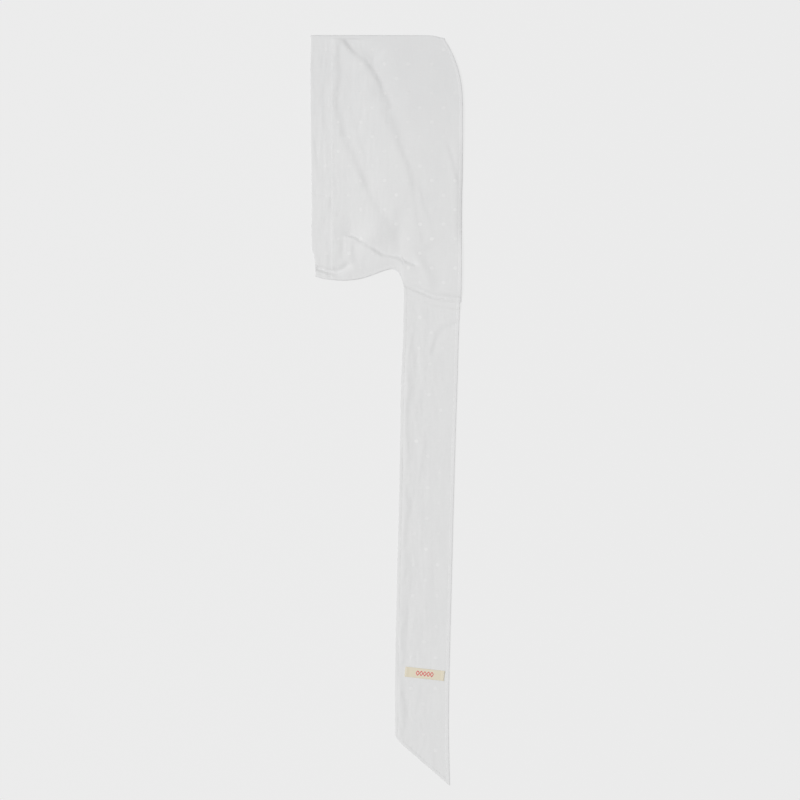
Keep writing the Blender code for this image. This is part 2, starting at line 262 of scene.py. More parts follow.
def wavering_sine(y, length, swing, size, seed):
    """A sine down the cloth whose phase swings by slow random amounts."""
    return np.sin(y / length + swing * rumple(0 * y, y, size, seed))


def crease_height(crease, x, y):
    """A crease's height over the cloth at each point: minus half its drop times the tanh of the
    distance left of its path over its width, times a bell as wide as that side's reach, minus the
    valley times a bell as wide as the line. Strength and width waver along the path, and all of
    it eases off to nothing over fade at both ends."""
    points = np.array(crease.path, float)
    rows = np.column_stack([np.arange(len(points)), points])
    fine = np.linspace(0, len(points) - 1, 4 * (len(points) - 1) + 1)
    line = np.column_stack([through(rows, fine, 1), through(rows, fine, 2)])
    nearest = np.full(x.shape, np.inf)
    side = np.zeros(x.shape)
    along = np.zeros(x.shape)
    run = 0.0
    for start, step in zip(line[:-1], np.diff(line, axis=0)):
        length = math.hypot(*step)
        share = ((x - start[0]) * step[0] + (y - start[1]) * step[1]) / length**2
        share = np.clip(share, 0.0, 1.0)
        off_x, off_y = x - start[0] - share * step[0], y - start[1] - share * step[1]
        distance = np.hypot(off_x, off_y)
        nearer = distance < nearest
        nearest = np.where(nearer, distance, nearest)
        side = np.where(nearer, np.where(step[0] * off_y - step[1] * off_x > 0, 1.0, -1.0), side)
        along = np.where(nearer, run + share * length, along)
        run += length
    fade = ease(along / crease.fade) * ease((run - along) / crease.fade)
    place = np.hypot(*points[0])
    fade = fade * (1.0 + CREASE_STRENGTH_WAVER * rumple(along, place + 0 * along, size=13.0, seed=9))
    width_waver = CREASE_WIDTH_WAVER * rumple(along, place + 0 * along, size=9.0, seed=10)
    width = crease.width * (1.0 + width_waver)
    step_down = 0.5 * crease.drop * np.tanh(side * nearest / width)
    reach = np.where(side > 0, crease.low, crease.high)
    return -fade * (step_down * bell(nearest, reach) + crease.valley * bell(nearest, width))


def fine_wrinkles(x, y, seed):
    """Fine wrinkles that run down the cloth, from -1 to 1: random heights drawn out along y, and
    finer ones, both shifted sideways by slow random amounts."""
    drift = 3.0 * rumple(x, y, size=30.0, seed=seed)
    coarse = rumple(x + drift, y / 7.0, size=2.6, seed=seed + 1)
    return 0.65 * coarse + 0.35 * rumple(x + drift, y / 3.0, size=1.5, seed=seed + 2)


def top_y(x):
    """The fold at the top, which drops as a square towards the front corner."""
    share = np.clip((x - TOP_DROP_START_X) / (FRONT_CORNER_X - TOP_DROP_START_X), 0.0, None)
    return TOP_Y - TOP_DROP * share**2


def front_x(y):
    """The front edge: the curve through FRONT_EDGE, cut back to the corner by a power of the height."""
    share = np.clip((y - TOP_Y + TOP_DROP + FRONT_CURVE_LENGTH) / FRONT_CURVE_LENGTH, 0.0, 1.0)
    cut_back = FRONT_EDGE[-1].value - FRONT_CORNER_X
    return through(FRONT_EDGE, y) - cut_back * share**FRONT_CURVE_POWER


def foot_y(x):
    """The crown's lower edge: the side hem, then a quarter ellipse at the neck, then the tie's seam."""
    share = np.clip((x - CREST_X) / (NECK_X - CREST_X), 0.0, 1.0)
    neck = NECK_Y + (CREST_Y - NECK_Y) * np.sqrt(1.0 - share**2)
    return np.where(
        x < CREST_X, through(SIDE_HEM, x), np.where(x < TIE_SEAM[0].at, neck, through(TIE_SEAM, x))
    )


def at_tie_seam(x, half=3.0):
    """0 over the side hem and 1 over the tie's seam, eased over twice half where they meet."""
    return ease((x - TIE_SEAM[0].at + half) / (2 * half))


def lofted(across, band, middle, front):
    """A height across the crown: from the band's to the middle's and on to the front's, each step
    by an ease curve over its own stretch."""
    rise = ease(across / RISE_FROM_BAND)
    fall = ease((across - FALL_TO_FRONT) / (1.0 - FALL_TO_FRONT))
    return band + (middle - band) * rise + (front - middle) * fall


def fold_radius(across):
    """Half the way up between the two layers at the fold."""
    top = LOFT[0]
    return (lofted(across, top.band, top.middle, top.front) - LOWER_Z) / 2


def bend_y(across):
    """Where the layers turn into the half circle of the fold."""
    return top_y(SEAM_X + across * (FRONT_CORNER_X - SEAM_X)) - CLOTH / 2 - fold_radius(across)


def hem_wall(inside):
    """The cloth's thickness at a distance inside a hemmed edge: the hem's, with a round edge like a
    quarter ellipse, easing down to a single layer behind the stitches."""
    share = np.clip(inside / HEM_ROUND, 0.0, 1.0)
    round_edge = HEM_RIM_SHARE + (1.0 - HEM_RIM_SHARE) * np.sqrt(1.0 - (1.0 - share) ** 2)
    doubled = 1.0 - ease((inside - HEM_WIDTH) / HEM_EASE + 0.5)
    return (CLOTH + (HEM - CLOTH) * doubled) * round_edge


def hem_ditch(inside):
    """The dent that a hem's stitches pull: a narrow bell on the stitch line."""
    return -STITCH_DITCH * bell(inside - STITCH_INSIDE, STITCH_DITCH_WIDTH)


def thin_rim(inside, reach):
    """The share of a wall that is left at a distance inside a cut edge, eased to all of it."""
    return RIM_SHARE + (1.0 - RIM_SHARE) * ease(inside / reach)


def upper_height(x, y):
    """Height of the upper layer's middle, crown and band alike: the loft table, pressed down by a
    square along part of the front edge, plus creases, mounds, rumples, fine wrinkles and puckers
    along the band's seam, which fade out at the fold, less the ditches at the tie's seam and the
    hems. A soft maximum, softness times the log of 1 + e to height / softness, keeps it up."""
    across = np.clip((x - SEAM_X) / (front_x(y) - SEAM_X), 0.0, 1.0)
    foot = foot_y(np.where(x < SEAM_X, x, SEAM_X + across * (FOOT_RIGHT_X - SEAM_X)))
    bend = bend_y(across)
    down = np.clip((bend - y) / (bend - foot), 0.0, 1.0)
    height = lofted(across, *(through(LOFT, down, column) for column in (1, 2, 3)))
    press = through(FRONT_PRESS, y) * (y > FRONT_PRESS[0].at) * (y < FRONT_PRESS[-1].at)
    from_front = (1.0 - across) * (front_x(y) - SEAM_X)
    height = height - press * np.clip(1.0 - from_front / FRONT_PRESS_REACH, 0.0, 1.0) ** 2
    folds = sum(crease_height(crease, x, y) for crease in CROWN_CREASES)
    for mound in CROWN_MOUNDS:
        lift = bell(x - mound.x, mound.reach_x) * bell(y - mound.y, mound.reach_y)
        folds = folds + mound.height * lift
    folds = folds + rumples(CROWN_RUMPLES, x, y)
    wrinkled = WRINKLES_BACK + (WRINKLES_FRONT - WRINKLES_BACK) * ease((x - WRINKLED_X) / WRINKLED_FADE)
    wrinkled = wrinkled + WRINKLES_ON_BAND * ease((SEAM_X - x) / BAND_WRINKLE_FADE)
    folds = folds + wrinkled * fine_wrinkles(x, y, seed=20)
    pucker = rumple(x * 0.2, y, size=5.0, seed=6)
    pucker = pucker + 0.6 * wavering_sine(y, length=1.7, swing=2.0, size=30.0, seed=7)
    folds = folds + PUCKER * pucker * bell(x - SEAM_X, PUCKER_REACH)
    height = height + folds * ease((bend - y) / FADE_BELOW_FOLD)
    off_seam = y - foot
    on_seam = at_tie_seam(x)
    grown = ease((x - TIE_SEAM[0].at) / SEAM_DITCH_GROWTH)
    ditch = SEAM_DITCH * (SEAM_DITCH_START + (1.0 - SEAM_DITCH_START) * grown)
    height = height - ditch * on_seam * bell(off_seam - SEAM_DITCH_INSIDE, SEAM_DITCH_WIDTH)
    height = height + hem_ditch(off_seam) * (1.0 - on_seam) + hem_ditch(from_front)
    floor = LOWER_Z + UPPER_CLEARANCE
    return floor + CLEARANCE_SOFTNESS * np.logaddexp(0.0, (height - floor) / CLEARANCE_SOFTNESS)


def lower_height(x, y):
    """Height of the lower layer's middle: flat on the ground, with slight rumples."""
    return LOWER_Z - (HEM - CLOTH) / 2 + LOWER_LIFT + rumples(LOWER_RUMPLES, x, y)


def sheet_normals(points):
    """Unit normals of a grid of points: the cross product of its steps along rows and columns."""
    down, across = np.gradient(points, axis=0), np.gradient(points, axis=1)
    normals = np.cross(down, across)
    return normals / np.maximum(np.linalg.norm(normals, axis=2, keepdims=True), 1e-9)


def mesh_piece(name, points, faces, material, uv=None):
    """A smooth-shaded object at the origin from points in millimetres and faces as index rows,
    with uv, a pair for each point, as its cloth coordinates in metres."""
    mesh = bpy.data.meshes.new(name)
    mesh.from_pydata(points * MM, [], faces)
    if uv is not None:
        corners = np.zeros(len(mesh.loops), np.int32)
        mesh.loops.foreach_get("vertex_index", corners)
        layer = mesh.uv_layers.new(name="cloth")
        layer.data.foreach_set("uv", (uv[corners] * MM).astype(np.float32).ravel())
    mesh.shade_smooth()
    mesh.materials.append(material)
    piece = bpy.data.objects.new(name, mesh)
    bpy.context.scene.collection.objects.link(piece)
    return piece


def thick_sheet(name, middle, wall, uv, material):
    """A closed sheet from a grid of middle points: an outer and an inner face, half the wall away
    along the normals, and a strip of quads round the rim that joins them."""
    rows, columns = middle.shape[:2]
    half = sheet_normals(middle) * (np.broadcast_to(wall, (rows, columns)) / 2)[..., None]
    index = np.arange(rows * columns).reshape(rows, columns)
    outer = np.stack([index[:-1, :-1], index[1:, :-1], index[1:, 1:], index[:-1, 1:]], axis=-1)
    outer = outer.reshape(-1, 4)
    inner = outer[:, ::-1] + index.size
    rim = np.concatenate([index[:-1, 0], index[-1, :-1], index[:0:-1, -1], index[0, :0:-1]])
    after = np.roll(rim, -1)
    side = np.stack([after, rim, rim + index.size, after + index.size], axis=-1)
    points = np.concatenate([(middle + half).reshape(-1, 3), (middle - half).reshape(-1, 3)])
    flat = uv.reshape(-1, 2)
    return mesh_piece(
        name, points, np.concatenate([outer, inner, side]), material, np.concatenate([flat, flat])
    )


class Flow:
    """A value that flows through a material's nodes: the tree and one output socket. Arithmetic
    with numbers or other flows adds Math nodes, and node() adds any other node."""

    def __init__(self, tree, socket=None):
        self.tree = tree
        self.socket = socket

    def node(self, kind, output=0, settings=None, inputs=None):
        """Add a node of this kind, make its settings, fill its inputs with plain values or flows,
        and return the chosen output."""
        made = self.tree.nodes.new("ShaderNode" + kind)
        for key, value in (settings or {}).items():
            setattr(made, key, value)
        for key, value in (inputs or {}).items():
            if isinstance(value, Flow):
                self.tree.links.new(value.socket, made.inputs[key])
            else:
                made.inputs[key].default_value = value
        return Flow(self.tree, made.outputs[output])

    def math(self, operation, *values):
        """A Math node with this operation on its values."""
        return self.node("Math", settings={"operation": operation}, inputs=dict(enumerate(values)))

    def noise(self, coordinates, stretch, detail=2.0):
        """Noise from 0 to 1 over coordinates that are first scaled by stretch along each axis."""
        scaled = self.node("VectorMath", settings={"operation": "MULTIPLY"},
                           inputs={0: coordinates, 1: stretch})
        return self.node("TexNoise", inputs={"Vector": scaled, "Scale": 1.0, "Detail": detail})

    def axes(self):
        """The x and the y of a vector."""
        return [self.node("SeparateXYZ", output=axis, inputs={0: self}) for axis in (0, 1)]

    def ribs(self, pitch_m):
        """A sine with this pitch along the value, moved and scaled to run from 0 to 1."""
        return self.math("SINE", self * (2 * math.pi / pitch_m)) * 0.5 + 0.5

    def tint(self, share, colour, other):
        """One colour blended into the other by a share."""
        return self.node("Mix", output=2, settings={"data_type": "RGBA"},
                         inputs={0: share, 6: (*colour, 1.0), 7: (*other, 1.0)})

    def __add__(self, other):
        return self.math("ADD", self, other)

    def __radd__(self, other):
        return self.math("ADD", other, self)

    def __sub__(self, other):
        return self.math("SUBTRACT", self, other)

    def __mul__(self, other):
        return self.math("MULTIPLY", self, other)


def shader_with(block, shader, values):
    """A material's or a world's shader node of this name, with these inputs set."""
    block.use_nodes = True
    node = block.node_tree.nodes[shader]
    for name, value in values.items():
        node.inputs[name].default_value = value
    return node


def new_finish(name, roughness, sheen, specular):
    """A material, the Principled shader in it with its constant values set, and its flow."""
    material = bpy.data.materials.new(name)
    shader = shader_with(material, "Principled BSDF", {
        "Roughness": roughness, "Specular IOR Level": specular, "Sheen Weight": sheen,
    })
    return material, shader, Flow(material.node_tree)


def surface(shader, tone, relief, strength, depth_m):
    """Lead a tone to the shader's colour, and a relief of this depth through a bump to its normal."""
    bump = relief.node("Bump", inputs={"Strength": strength, "Distance": depth_m, "Height": relief})
    relief.tree.links.new(tone.socket, shader.inputs["Base Color"])
    relief.tree.links.new(bump.socket, shader.inputs["Normal"])


THREAD_PITCH_M = 0.00036
COTTON_DARK = (0.755, 0.757, 0.760)
COTTON_LIGHT = (0.815, 0.815, 0.812)
# Painted shade round the fold: how much darker the tone is painted there, whole out to the first distance
# along the cloth and eased away to nothing by the second.
PAINTED_FOLD_SHADE = 0.36
PAINTED_FOLD_SHADE_FROM_M = 0.04
PAINTED_FOLD_SHADE_TO_M = 0.15


def painted_fold_shade(along):
    """How much painted shade darkens the cotton round its fold: whole near it, and eased away by a
    smooth step of the distance along the cloth."""
    inputs = {"Value": along.math("ABSOLUTE", along - TOP_Y * MM), "From Min": PAINTED_FOLD_SHADE_FROM_M,
              "From Max": PAINTED_FOLD_SHADE_TO_M, "To Min": PAINTED_FOLD_SHADE, "To Max": 0.0}
    return along.node("MapRange", settings={"interpolation_type": "SMOOTHSTEP"}, inputs=inputs)


def cotton_finish(name):
    """Plain weave: over and under threads as two sines across each other, a faint slub along both
    ways of the cloth in colour and relief, a slow drift of tone, and painted shade near the fold."""
    material, shader, flow = new_finish(name, roughness=0.9, sheen=0.08, specular=0.2)
    cloth = flow.node("UVMap", settings={"uv_map": "cloth"})
    across, along = cloth.axes()
    warp = flow.math("SINE", across * (math.pi / THREAD_PITCH_M))
    weft = flow.math("SINE", along * (math.pi / THREAD_PITCH_M))
    weave = warp * weft * 0.5 + 0.5
    slub_up = flow.noise(cloth, (1500.0, 60.0, 1.0))
    slub_across = flow.noise(cloth, (60.0, 1500.0, 1.0))
    drift = flow.noise(cloth, (28.0, 28.0, 1.0), detail=3.0)
    slub = slub_up * 0.5 + slub_across * 0.5
    # The tone is darkened round the fold by painted shade.
    share = slub * 0.9 + drift * 0.5 - 0.2 - painted_fold_shade(along)
    tone = flow.tint(share, COTTON_DARK, COTTON_LIGHT)
    flow.tree.links.new((0.84 + slub * 0.12).socket, shader.inputs["Roughness"])
    surface(shader, tone, relief=weave * 0.8 + slub, strength=0.8, depth_m=0.00010)
    return material


cotton = cotton_finish("dotted_cotton")


def lap(distance):
    """The step of a lapped edge: whole up to the other piece's edge, then eased away."""
    return LAP_STEP * (1.0 - ease(distance / LAP_REACH))


bend_turn = math.pi * (np.arange(1, BEND_ROWS) / BEND_ROWS)[:, None]


def folded(lower, bend, upper):
    """The points of a sheet in two layers, and how far along the cloth each lies: the lower layer,
    the fold's half circle from its end up to the start of the upper layer, and the upper layer.
    lower and upper hold the x, the y and the z of a layer's rows."""
    half = (upper[2][0] - lower[2][-1]) / 2
    turn_y = bend + half * np.sin(bend_turn)
    turn_z = lower[2][-1] + half * (1.0 - np.cos(bend_turn))
    turned = [np.broadcast_to(lower[0][-1], turn_y.shape), turn_y, turn_z]
    points = np.concatenate([np.stack(part, axis=-1) for part in (lower, turned, upper)])
    return points, np.concatenate([2 * TOP_Y - lower[1], TOP_Y + half * np.cos(bend_turn), upper[1]])


crown_width = FOOT_RIGHT_X - SEAM_X
crown_across = spaced(crown_width + LAP, CROWN_COLUMNS, (0.0, crown_width), reach=4.0, extra=2.0)
crown_across = (crown_across - LAP) / crown_width
foot_x = SEAM_X + crown_across * crown_width
on_tie_seam = at_tie_seam(foot_x, half=1.0)
crown_foot = foot_y(foot_x) - SEAM_LAP * on_tie_seam
crown_bend = bend_y(crown_across)

lower_share = spaced(1.0, LOWER_ROWS, (0.0,), reach=0.03, extra=6.0)[:, None]
lower_y = crown_foot + lower_share * (crown_bend - crown_foot)
lower_x = SEAM_X + crown_across * (front_x(lower_y) - SEAM_X)
lower_z = lower_height(lower_x, lower_y)

upper_share = (1.0 - spaced(1.0, UPPER_ROWS, (0.0,), reach=0.015, extra=2.5)[::-1])[:, None]
upper_y = crown_bend + upper_share * (crown_foot - crown_bend)
upper_x = SEAM_X + crown_across * (front_x(upper_y) - SEAM_X)
upper_z = upper_height(upper_x, upper_y) + lap(upper_x - SEAM_X)
upper_z = upper_z - lap(upper_y - foot_y(foot_x)) * on_tie_seam
crown_middle, crown_along = folded(
    (lower_x, lower_y, lower_z), crown_bend, (upper_x, upper_y, upper_z)
)


def layer_wall(x, y, edge_x):
    """A layer's thickness: the hem's near the front edge and the side hem, single cloth elsewhere."""
    side = np.maximum(y - foot_y(np.minimum(x, FOOT_RIGHT_X)), 0.0) + PAST_HEM * at_tie_seam(x)
    wall = np.where(edge_x - x < side, hem_wall(edge_x - x), hem_wall(side))
    return wall * thin_rim(x - SEAM_X + LAP, reach=0.8)


lower_wall = layer_wall(lower_x, lower_y, front_x(lower_y))
bend_wall = np.broadcast_to(lower_wall[-1], (BEND_ROWS - 1, CROWN_COLUMNS + 1))
crown_wall = np.concatenate([lower_wall, bend_wall, layer_wall(upper_x, upper_y, front_x(upper_y))])
crown_uv = np.stack([crown_middle[..., 0], crown_along], axis=-1)
crown_cloth = thick_sheet("crown_cloth", crown_middle, crown_wall, crown_uv, cotton)
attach(crown_cloth, "root")
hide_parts("crown")


# Back band
#
# The back edge of the same cloth, turned in and stitched down as a doubled band about 24 mm wide:
# an outer leaf that goes on from the crown, a tight turn at the back edge, and an inner leaf.

BACK_EDGE = [
    Edge(147.4, -78.3), Edge(165.6, -79.4), Edge(174.4, -82.1), Edge(227.0, -82.3),
    Edge(297.6, -83.2), Edge(368.0, -83.8), Edge(412.5, -83.2),
]
BAND_WIDTH = SEAM_X - BACK_EDGE[2].value
BAND_LEAF_GAP = 0.30
BAND_HEM = 0.82
BAND_OUTER_COLUMNS = 26
BAND_TURN_COLUMNS = 7
BAND_INNER_COLUMNS = 12
BAND_UPPER_ROWS = 230

turn_radius = (CLOTH + BAND_LEAF_GAP) / 2
leaf = np.linspace(0.0, 1.0, BAND_OUTER_COLUMNS + 1)
turn = math.pi * np.arange(1, BAND_TURN_COLUMNS + 1) / BAND_TURN_COLUMNS
leaf_back = np.arange(1, BAND_INNER_COLUMNS + 1) / BAND_INNER_COLUMNS
leaf_out = np.concatenate([leaf, np.ones(BAND_TURN_COLUMNS), 1.0 - leaf_back])
leaf_turn = np.concatenate([0 * leaf, np.sin(turn), 0 * leaf_back])
leaf_inwards = np.concatenate([0 * leaf, 1.0 - np.cos(turn), 2.0 + 0 * leaf_back]) * turn_radius


def band_plan(share, bend):
    """Where the band's points lie on the ground: x out to the back edge, round the turn and back,
    and y down from the fold to the side hem."""
    y = bend + share * (through(SIDE_HEM, np.full(leaf_out.shape, SEAM_X)) - bend)
    edge = through(BACK_EDGE, y) + CLOTH / 2 + turn_radius
    x = SEAM_X + LAP + leaf_out * (edge - SEAM_X - LAP) - turn_radius * leaf_turn
    return x, bend + share * (through(SIDE_HEM, x) - bend)


band_bend = bend_y(np.zeros(1))[0]
band_lower_x, band_lower_y = band_plan(1.0 - lower_share, band_bend)
band_lower_z = lower_height(band_lower_x, band_lower_y) + leaf_inwards
band_share = (1.0 - spaced(1.0, BAND_UPPER_ROWS, (0.0,), reach=0.015, extra=2.5)[::-1])[:, None]
band_upper_x, band_upper_y = band_plan(band_share, band_bend)
band_upper_z = upper_height(band_upper_x, band_upper_y) - lap(SEAM_X - band_upper_x) - leaf_inwards
band_middle, band_along = (grid[:, ::-1] for grid in folded(
    (band_lower_x, band_lower_y, band_lower_z), band_bend, (band_upper_x, band_upper_y, band_upper_z)
))
band_foot = np.concatenate([
    band_lower_y - through(SIDE_HEM, band_lower_x),
    np.full((BEND_ROWS - 1, len(leaf_out)), PAST_HEM),
    band_upper_y - through(SIDE_HEM, band_upper_x),
])[:, ::-1]
band_girth = (leaf_out * BAND_WIDTH)[::-1]
band_uv = np.stack([SEAM_X - np.broadcast_to(band_girth, band_along.shape), band_along], axis=-1)
band_wall = CLOTH + (BAND_HEM - CLOTH) / (HEM - CLOTH) * (hem_wall(band_foot) - CLOTH)
band_cloth = thick_sheet("band_cloth", band_middle, band_wall, band_uv, cotton)
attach(band_cloth, "root")
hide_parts("back_band")


# Ties
#
# Two long ties of single cotton with narrow stitched hems and slanted ends, one sewn to each layer
# of the crown. The upper one lies on the lower one and is slightly rippled.

TieEdges = namedtuple("TieEdges", "at left right")

TIE_EDGES = [
    TieEdges(at=-412.5, left=9.2, right=69.4),
    TieEdges(at=-345.0, left=9.2, right=68.2),
    TieEdges(at=-285.0, left=9.3, right=69.0),
    TieEdges(at=-190.0, left=11.3, right=71.4),
    TieEdges(at=-100.0, left=13.5, right=73.7),
    TieEdges(at=-20.0, left=14.9, right=76.0),
    TieEdges(at=35.0, left=15.9, right=77.9),
    TieEdges(at=80.0, left=18.0, right=79.1),
    TieEdges(at=138.5, left=19.1, right=81.7),
]
TIE_TIP_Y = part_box("tie_upper")[0].y / MM
TIE_SLANT = 52.1
TIE_END_LEFT_Y = TIE_TIP_Y + TIE_SLANT
TIE_WIDTH = 60.0
TIE_CORNER_ROUNDING = 3.0
TIE_CORNER_SHARE = 0.12
TIE_Z = 1.75
LOWER_TIE_LIFT = 0.15
TIE_COLUMNS = 72
TIE_ROWS = 420
LOWER_TIE_COLUMNS = 24
LOWER_TIE_ROWS = 110

TIE_RUMPLES = [
    Rumple(height=0.12, size=8.0, seed=12, stretch_y=0.35),
    Rumple(height=0.12, size=15.0, seed=13),
    Rumple(height=0.04, size=3.0, seed=17, stretch_x=1 / 6),
]
CRUMPLED_RUMPLES = [Rumple(height=0.12, size=5.0, seed=18)]
LOWER_TIE_RUMPLES = [Rumple(height=0.06, size=14.0, seed=15, stretch_y=0.5)]
TIE_CREASES = [
    Crease(0.55, 2.6, 6, 5, 0.1, 20, [(30, 84), (31, 64), (31, 49), (31, 34), (28, 7)]),
    Crease(0.5, 2.8, 7, 5, 0.1, 18, [(44, -17), (43, -38), (42, -52), (40, -65), (34, -79), (31, -98)]),
    Crease(0.45, 2.6, 5, 5, 0.1, 14, [(28, -87), (26, -104), (22, -120), (18, -145)]),
    Crease(1.2, 3.2, 8, 8, 0.4, 12, [(82, 96), (71, 94), (62, 90), (55, 81), (52, 71), (49, 56)]),
    Crease(0.6, 2.8, 5, 5, 0.1, 9, [(25, -213), (22, -230), (20, -250)]),
    Crease(0.6, 3.2, 6, 5, 0.1, 14, [(18, -305), (21, -329), (20, -354)]),
    Crease(0.4, 2.8, 5, 5, 0.0, 22, [(27, -160), (26, -186), (28, -213)]),
    Crease(0.35, 3.4, 8, 8, 0.0, 28, [(48, -138), (49, -181), (47, -219), (48, -257)]),
]
LABEL_CENTRE = (41.9, -289.4)
LABEL_WIDTH = 43.5
LABEL_HEIGHT = 11.0
LABEL_TILT = math.radians(-6.4)
LABEL_CALM = 6.0
UNDER_LABEL_SHARE = 0.12
ROLL_INSIDE = 6.0
ROLL_WIDTH = 4.2
ROLL_HEIGHT = 0.6
ROLL_HEIGHT_WAVER = 0.35
ROLL_SWING = 1.8
TIE_SMOOTH_FROM = 20.0
TIE_SMOOTH_FADE = 25.0
TIE_SMOOTHING = 0.6
TIE_WRINKLES = 0.20
TIE_EDGE_FADE = 5.0
TIE_PUCKER = 0.05
TIE_PUCKER_INSIDE = 3.0
TIE_PUCKER_WIDTH = 2.5
ALLOWANCE_DEPTH = 9.5
ALLOWANCE_HEIGHT = 1.1
ALLOWANCE_RISE = 4.0
ALLOWANCE_FALL = 10.0
ALLOWANCE_EDGE_SHARE = 0.25
ALLOWANCE_EDGE = 1.2
CALM_BELOW_SEAM = 2.0
CALM_FADE = 14.0
TIE_SEAM_DITCH = 0.4
TIE_SEAM_DITCH_ABOVE = 1.0
TIE_SEAM_DITCH_WIDTH = 2.0


def tie_sides(y):
    """Where a tie's edges lie; its left edge goes on up into the neck's ellipse."""
    share = np.clip((y - NECK_Y) / (CREST_Y - NECK_Y), 0.0, 1.0)
    neck = CREST_X + (NECK_X - CREST_X) * np.sqrt(1.0 - share**2)
    return np.minimum(through(TIE_EDGES, y, 1), neck), through(TIE_EDGES, y, 2)


def tie_end_y(across):
    """The slanted end: a straight slope, with the inner corner rounded by a square."""
    corner = np.clip(1.0 - across / TIE_CORNER_SHARE, 0.0, 1.0)
    return TIE_END_LEFT_Y - TIE_SLANT * across + TIE_CORNER_ROUNDING * corner**2


def tie_inside(x, y):
    """Distance inside the nearest hemmed edge of a tie: left, right or the slanted end."""
    left, right = tie_sides(y)
    slope = math.cos(math.atan(TIE_SLANT / TIE_WIDTH))
    end = (y - tie_end_y((x - left) / (right - left))) * slope
    return np.minimum(np.minimum(x - left, right - x), end)


def label_frame(x, y):
    """From places on the ground to the label's own length and height: moved, then turned back."""
    from_x, from_y = x - LABEL_CENTRE[0], y - LABEL_CENTRE[1]
    along = from_x * math.cos(LABEL_TILT) + from_y * math.sin(LABEL_TILT)
    return along, from_y * math.cos(LABEL_TILT) - from_x * math.sin(LABEL_TILT)


def off_label(x, y):
    """0 under the label, which keeps the cloth flat, rising to 1 at a distance of LABEL_CALM."""
    along, up = label_frame(x, y)
    beside = np.maximum(np.abs(along) - LABEL_WIDTH / 2, 0.0)
    above = np.maximum(np.abs(up) - LABEL_HEIGHT / 2, 0.0)
    return ease(np.hypot(beside, above) / LABEL_CALM)


def tie_height(x, y):
    """Height of the upper tie's middle: creases, a soft roll along the left edge, rumples, and fine
    wrinkles and puckers that calm down towards the edges, the label and the seam, plus the turned
    allowance just below the seam, less the ditch at the seam, and the hems' ditches."""
    left, right = tie_sides(y)
    inside = tie_inside(x, y)
    folds = sum(crease_height(crease, x, y) for crease in TIE_CREASES)
    roll_x = left + ROLL_INSIDE + ROLL_SWING * rumple(x * 0, y, size=24.0, seed=11)
    roll_height = ROLL_HEIGHT + ROLL_HEIGHT_WAVER * rumple(x * 0, y, size=17.0, seed=16)
    folds = folds + roll_height * bell(x - roll_x, ROLL_WIDTH) + rumples(TIE_RUMPLES, x, y)
    crumpled = 1.0 - TIE_SMOOTHING * ease((x - left - TIE_SMOOTH_FROM) / TIE_SMOOTH_FADE)
    crumples = TIE_WRINKLES * fine_wrinkles(x, y, seed=30) + rumples(CRUMPLED_RUMPLES, x, y)
    folds = folds + crumpled * crumples
    pucker = wavering_sine(y, length=1.6, swing=3.0, size=26.0, seed=14)
    folds = folds + TIE_PUCKER * pucker * bell(inside - TIE_PUCKER_INSIDE, TIE_PUCKER_WIDTH)
    calm = UNDER_LABEL_SHARE + (1.0 - UNDER_LABEL_SHARE) * off_label(x, y)
    folds = folds * ease(inside / TIE_EDGE_FADE) * calm
    below_seam = through(TIE_SEAM, x) - y
    fall = ease((ALLOWANCE_DEPTH + ALLOWANCE_FALL / 2 - below_seam) / ALLOWANCE_FALL)
    allowance = ease((below_seam + TIE_SEAM_DITCH_ABOVE) / ALLOWANCE_RISE) * fall
    edge = ease((ALLOWANCE_DEPTH - below_seam) / ALLOWANCE_EDGE)
    allowance = allowance + ALLOWANCE_EDGE_SHARE * edge
    folds = folds * ease((below_seam - CALM_BELOW_SEAM) / CALM_FADE)
    ditch = TIE_SEAM_DITCH * bell(below_seam + TIE_SEAM_DITCH_ABOVE, TIE_SEAM_DITCH_WIDTH)
    seam = lap(below_seam) - ditch
    return TIE_Z + folds + ALLOWANCE_HEIGHT * allowance + seam + hem_ditch(inside)


def lower_tie_height(x, y):
    """Height of the lower tie's middle, flat on the ground."""
    return LOWER_Z - (HEM - CLOTH) / 2 + LOWER_TIE_LIFT + rumples(LOWER_TIE_RUMPLES, x, y)


def tie_cloth(name, columns, rows, height):
    """A tie: straight columns from its seam to its slanted end, spread between its two edges."""
    across = spaced(1.0, columns, (0.0, 1.0), reach=0.06, extra=2.4)
    seam_left, seam_right = tie_sides(TIE_SEAM[0].value)[0], tie_sides(TIE_SEAM[-1].value)[1]
    seam_x = seam_left + across * (seam_right - seam_left)
    seam = through(TIE_SEAM, seam_x) + LAP
    down = spaced(1.0, rows, (0.0, 1.0), reach=0.02, extra=2.0)[:, None]
    y = seam + down * (tie_end_y(across) - seam)
    left, right = tie_sides(y)
    x = np.where(down > 0.0, left + across * (right - left), seam_x)
    middle = np.stack([x, y, height(x, y)], axis=-1)
    uv = np.stack([across * TIE_WIDTH + 0.0 * y, y], axis=-1)
    piece = thick_sheet(name, middle, hem_wall(np.maximum(tie_inside(x, y), 0.0)), uv, cotton)
    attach(piece, "root")
    return piece


tie_lower_cloth = tie_cloth("tie_lower_cloth", LOWER_TIE_COLUMNS, LOWER_TIE_ROWS, lower_tie_height)
tie_upper_cloth = tie_cloth("tie_upper_cloth", TIE_COLUMNS, TIE_ROWS, tie_height)
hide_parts("tie_lower")
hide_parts("tie_upper")


# Woven dots
#
# Small round tufts of thicker weft, woven into the cotton in a staggered lattice and clipped, so
# that each one stands a little proud of the cloth. They are whiter than the ground weave.

